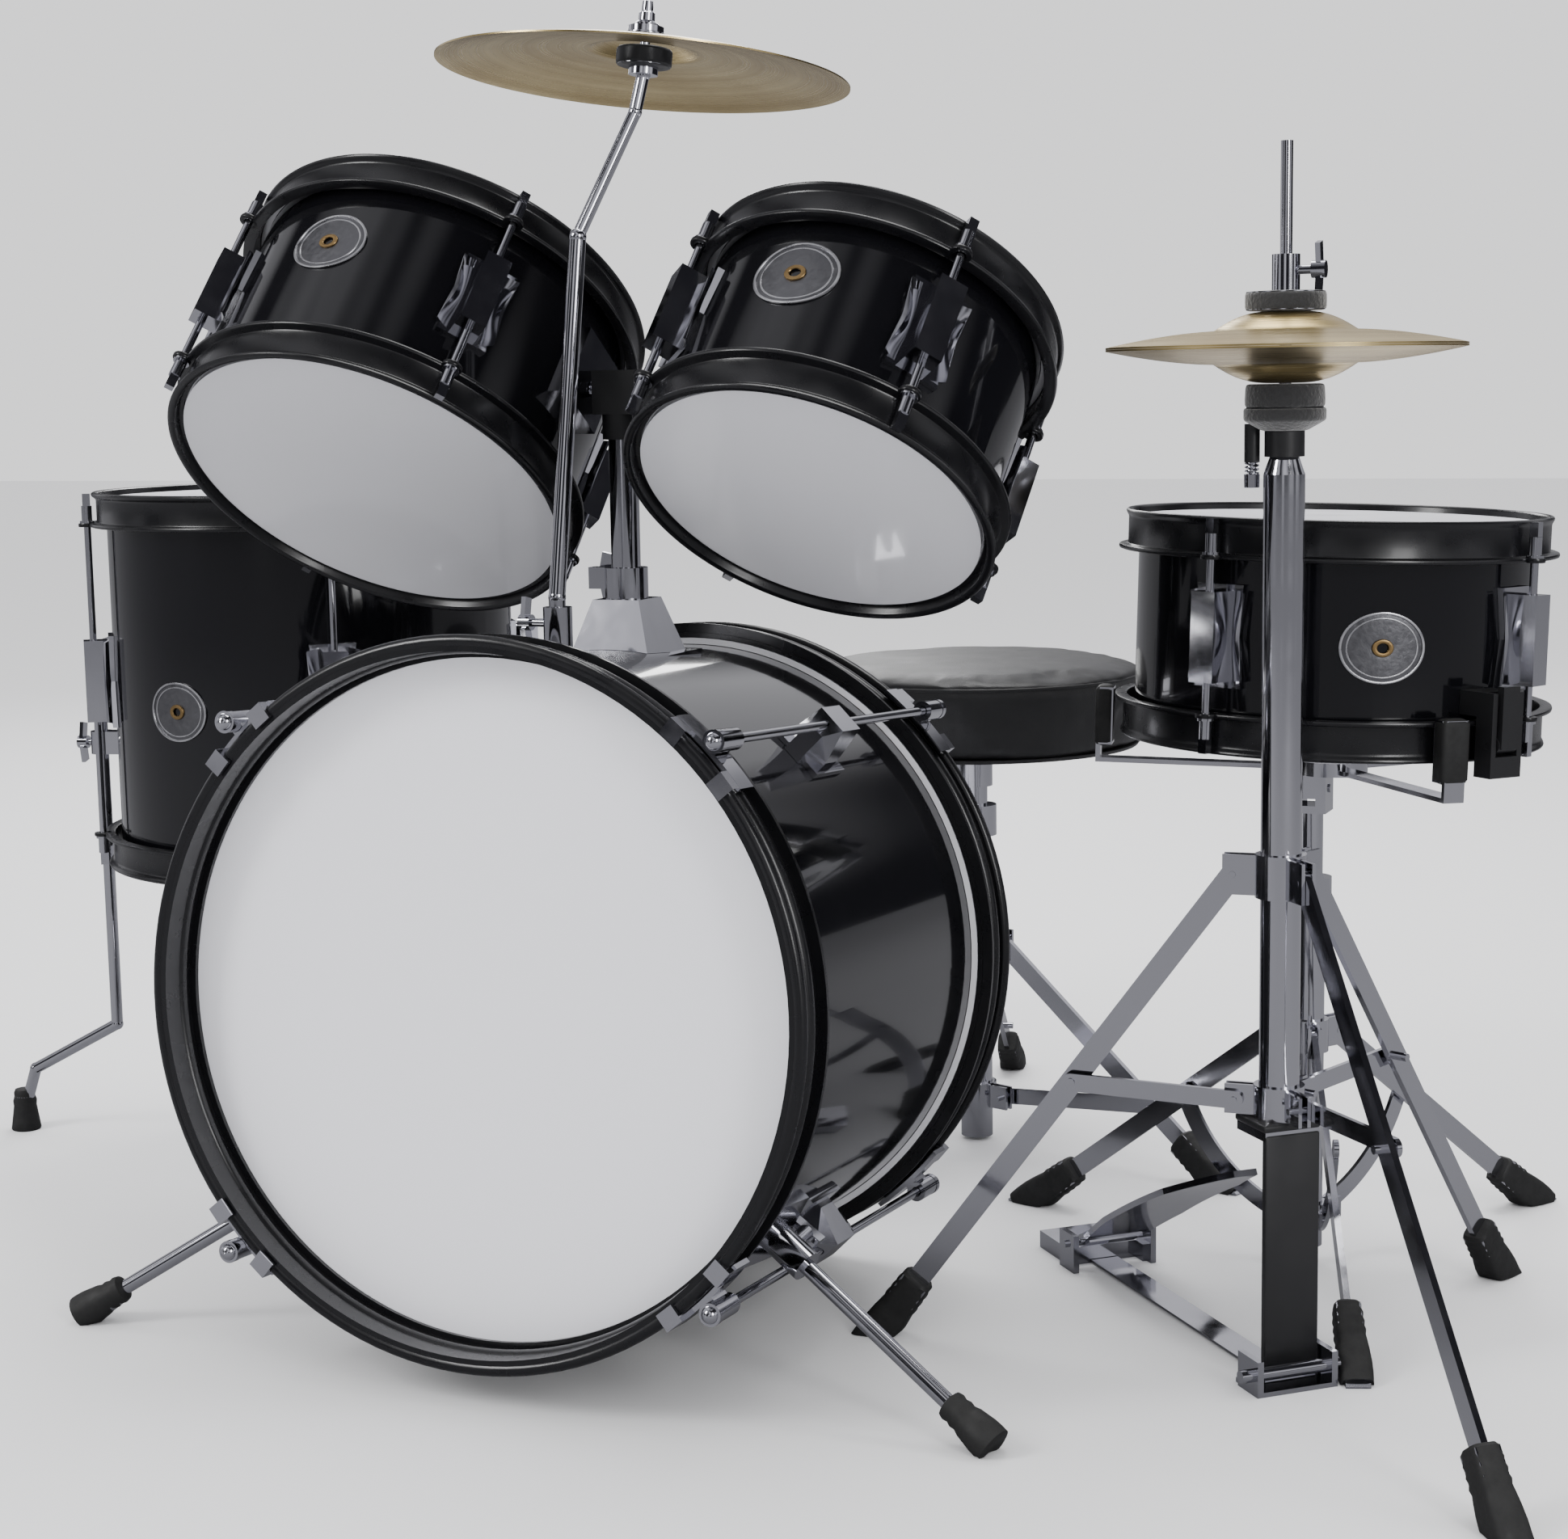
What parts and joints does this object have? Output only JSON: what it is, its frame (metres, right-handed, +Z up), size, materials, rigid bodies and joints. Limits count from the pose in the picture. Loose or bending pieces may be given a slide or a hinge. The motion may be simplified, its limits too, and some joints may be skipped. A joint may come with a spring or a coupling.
{
  "type": "acoustic drum kit",
  "caption": "Junior acoustic drum kit in black and chrome: bass drum with mounted toms and crash cymbal, floor tom, snare on a stand, hi-hat with pedal, and throne.",
  "frame": {"origin": "centre of the kit's footprint on the floor", "axes": "+Z up, +Y from the audience towards the drummer, +X to the hi-hat side"},
  "size_m": [1.2782, 0.9092, 0.8296],
  "materials": {
    "black_lacquer": "gloss",
    "black_metal": "satin",
    "drum_head": "satin",
    "clear_head": "gloss",
    "chrome": "polished",
    "brass": "brushed",
    "black_plastic": "satin",
    "vinyl": "satin",
    "steel_wire": "bright"
  },
  "bodies": {
    "kit_base": {"bass_shell": "black_lacquer", "bass_hoops": "black_metal", "bass_heads": "drum_head", "bass_lugs": "chrome", "bass_tension_rods": "chrome", "spur_brackets": "chrome", "tom_mount_base": "chrome", "floor_tom_shell": "black_lacquer", "floor_tom_hoops": "black_metal", "floor_tom_heads": "drum_head", "floor_tom_hardware": "chrome", "snare_stand_tube": "chrome", "hihat_stand": "chrome", "hihat_legs": "chrome", "hihat_seat": "black_plastic", "hihat_bottom_cymbal": "brass", "throne_base": "chrome", "pedal_base": "chrome"},
    "spur_left": {"spur_left": "chrome"},
    "spur_right": {"spur_right": "chrome"},
    "tom_post": {"tom_post": "chrome", "tom_holder": "black_plastic"},
    "left_tom": {"left_tom_arm": "chrome", "left_tom_shell": "black_lacquer", "left_tom_hoops": "black_metal", "left_tom_heads": "clear_head", "left_tom_hardware": "chrome"},
    "right_tom": {"right_tom_arm": "chrome", "right_tom_shell": "black_lacquer", "right_tom_hoops": "black_metal", "right_tom_heads": "clear_head", "right_tom_hardware": "chrome"},
    "floor_leg_left": {"floor_leg_left": "chrome"},
    "floor_leg_front": {"floor_leg_front": "chrome"},
    "floor_leg_rear": {"floor_leg_rear": "chrome"},
    "snare_collar": {"snare_stand_collar": "chrome"},
    "snare_leg_left": {"snare_leg_left": "chrome"},
    "snare_leg_front": {"snare_leg_front": "chrome"},
    "snare_leg_rear": {"snare_leg_rear": "chrome"},
    "snare_brace_left": {"snare_brace_left": "chrome"},
    "snare_brace_front": {"snare_brace_front": "chrome"},
    "snare_brace_rear": {"snare_brace_rear": "chrome"},
    "snare_tilter": {"snare_tilter": "chrome"},
    "snare_drum": {"snare_basket": "chrome", "snare_shell": "black_lacquer", "snare_hoops": "black_metal", "snare_heads": "drum_head", "snare_hardware": "chrome", "snare_wires": "steel_wire", "snare_strainer": "black_plastic"},
    "strainer_lever": {"strainer_lever": "black_plastic"},
    "hihat_rod": {"hihat_pull_rod": "chrome", "hihat_top_cymbal": "brass"},
    "hihat_footboard": {"hihat_footboard": "chrome"},
    "cymbal_arm": {"cymbal_arm": "chrome"},
    "crash_cymbal": {"crash_cymbal": "brass"},
    "throne_post": {"throne_post": "chrome"},
    "throne_seat": {"throne_seat": "vinyl"},
    "pedal_footboard": {"pedal_footboard": "chrome"},
    "pedal_beater": {"pedal_beater": "chrome"}
  },
  "joints": [
    {"name": "spur_right_slide", "type": "slide", "parent": "kit_base", "child": "spur_right", "axis": [-0.8266, 0.2143, 0.5204], "range_m": [0, 0.09]},
    {"name": "spur_left_slide", "type": "slide", "parent": "kit_base", "child": "spur_left", "axis": [0.8266, 0.2143, 0.5204], "range_m": [0, 0.09]},
    {"name": "tom_post_lift", "type": "slide", "parent": "kit_base", "child": "tom_post", "axis": [0, 0, 1], "range_m": [0, 0.018]},
    {"name": "left_tom_tilt", "type": "hinge", "parent": "tom_post", "child": "left_tom", "pos_m": [0.02836, -0.21088, 0.596], "axis": [1, 0, 0], "range_deg": [-6, 6]},
    {"name": "right_tom_tilt", "type": "hinge", "parent": "tom_post", "child": "right_tom", "pos_m": [0.02836, -0.21088, 0.596], "axis": [1, 0, 0], "range_deg": [-6, 6]},
    {"name": "floor_leg_left_slide", "type": "slide", "parent": "kit_base", "child": "floor_leg_left", "axis": [0, 0, 1], "range_m": [-0.03, 0.05]},
    {"name": "floor_leg_front_slide", "type": "slide", "parent": "kit_base", "child": "floor_leg_front", "axis": [0, 0, 1], "range_m": [-0.03, 0.05]},
    {"name": "floor_leg_rear_slide", "type": "slide", "parent": "kit_base", "child": "floor_leg_rear", "axis": [0, 0, 1], "range_m": [-0.03, 0.05]},
    {"name": "snare_collar_lift", "type": "slide", "parent": "kit_base", "child": "snare_collar", "axis": [0, 0, 1], "range_m": [0, 0.045]},
    {"name": "snare_leg_left_fold", "type": "hinge", "parent": "snare_collar", "child": "snare_leg_left", "pos_m": [0.40529, 0.00474, 0.158], "axis": [-0.2756, -0.9613, 0], "range_deg": [0, 26.6]},
    {"name": "snare_brace_left_fold", "type": "hinge", "parent": "kit_base", "child": "snare_brace_left", "pos_m": [0.40721, 0.00418, 0.034], "axis": [0.2756, 0.9613, 0], "range_deg": [0, 21.4]},
    {"name": "snare_leg_front_fold", "type": "hinge", "parent": "snare_collar", "child": "snare_leg_front", "pos_m": [0.43657, -0.02443, 0.158], "axis": [0.9397, 0.342, 0], "range_deg": [0, 26.6]},
    {"name": "snare_brace_front_fold", "type": "hinge", "parent": "kit_base", "child": "snare_brace_front", "pos_m": [0.43588, -0.02255, 0.034], "axis": [-0.9397, -0.342, 0], "range_deg": [0, 21.4]},
    {"name": "snare_leg_rear_fold", "type": "hinge", "parent": "snare_collar", "child": "snare_leg_rear", "pos_m": [0.44143, 0.01825, 0.158], "axis": [-0.8387, 0.5446, 0], "range_deg": [0, 26.6]},
    {"name": "snare_brace_rear_fold", "type": "hinge", "parent": "kit_base", "child": "snare_brace_rear", "pos_m": [0.44034, 0.01657, 0.034], "axis": [0.8387, -0.5446, 0], "range_deg": [0, 21.4]},
    {"name": "snare_height", "type": "slide", "parent": "kit_base", "child": "snare_tilter", "axis": [0, 0, 1], "range_m": [-0.03, 0.05]},
    {"name": "snare_tilt", "type": "hinge", "parent": "snare_tilter", "child": "snare_drum", "pos_m": [0.42836, -0.00188, 0.326], "axis": [1, 0, 0], "range_deg": [-10, 10]},
    {"name": "strainer_throw", "type": "hinge", "parent": "snare_drum", "child": "strainer_lever", "pos_m": [0.56783, -0.10448, 0.37263], "axis": [0.5646, 0.825, -0.0252], "range_deg": [0, 70]},
    {"name": "hihat_pull", "type": "slide", "parent": "kit_base", "child": "hihat_rod", "axis": [0, 0, 1], "range_m": [0, 0.022]},
    {"name": "hihat_footboard_hinge", "type": "hinge", "parent": "kit_base", "child": "hihat_footboard", "pos_m": [0.30418, -0.05618, 0.018], "axis": [-0.7278, -0.6858, 0], "range_deg": [0, 6.2]},
    {"name": "cymbal_arm_swivel", "type": "hinge", "parent": "kit_base", "child": "cymbal_arm", "pos_m": [0.02836, -0.30588, 0.45], "axis": [0, 0, 1], "range_deg": [-35, 35]},
    {"name": "crash_spin", "type": "hinge", "parent": "cymbal_arm", "child": "crash_cymbal", "pos_m": [0.06946, -0.25298, 0.7855], "axis": [0.0555, 0.0993, 0.9935], "continuous": true},
    {"name": "throne_height", "type": "slide", "parent": "kit_base", "child": "throne_post", "axis": [0, 0, 1], "range_m": [0, 0.06]},
    {"name": "throne_swivel", "type": "hinge", "parent": "throne_post", "child": "throne_seat", "pos_m": [0.11536, 0.21112, 0.318], "axis": [0, 0, 1], "continuous": true},
    {"name": "pedal_footboard_hinge", "type": "hinge", "parent": "kit_base", "child": "pedal_footboard", "pos_m": [0.02836, 0.06712, 0.013], "axis": [1, 0, 0], "range_deg": [0, 13]},
    {"name": "pedal_beater_swing", "type": "hinge", "parent": "kit_base", "child": "pedal_beater", "pos_m": [0.02836, -0.05088, 0.142], "axis": [1, 0, 0], "range_deg": [0, 40]}
  ],
  "couplings": [
    {"joint": "snare_leg_left_fold", "follows": "snare_collar_lift", "rad_per_m": 9.9255},
    {"joint": "snare_brace_left_fold", "follows": "snare_collar_lift", "rad_per_m": 7.9049},
    {"joint": "snare_leg_front_fold", "follows": "snare_collar_lift", "rad_per_m": 9.9255},
    {"joint": "snare_brace_front_fold", "follows": "snare_collar_lift", "rad_per_m": 7.9049},
    {"joint": "snare_leg_rear_fold", "follows": "snare_collar_lift", "rad_per_m": 9.9255},
    {"joint": "snare_brace_rear_fold", "follows": "snare_collar_lift", "rad_per_m": 7.9049},
    {"joint": "hihat_footboard_hinge", "follows": "hihat_pull", "rad_per_m": 4.75},
    {"joint": "pedal_footboard_hinge", "follows": "pedal_beater_swing", "ratio": 0.32}
  ]
}
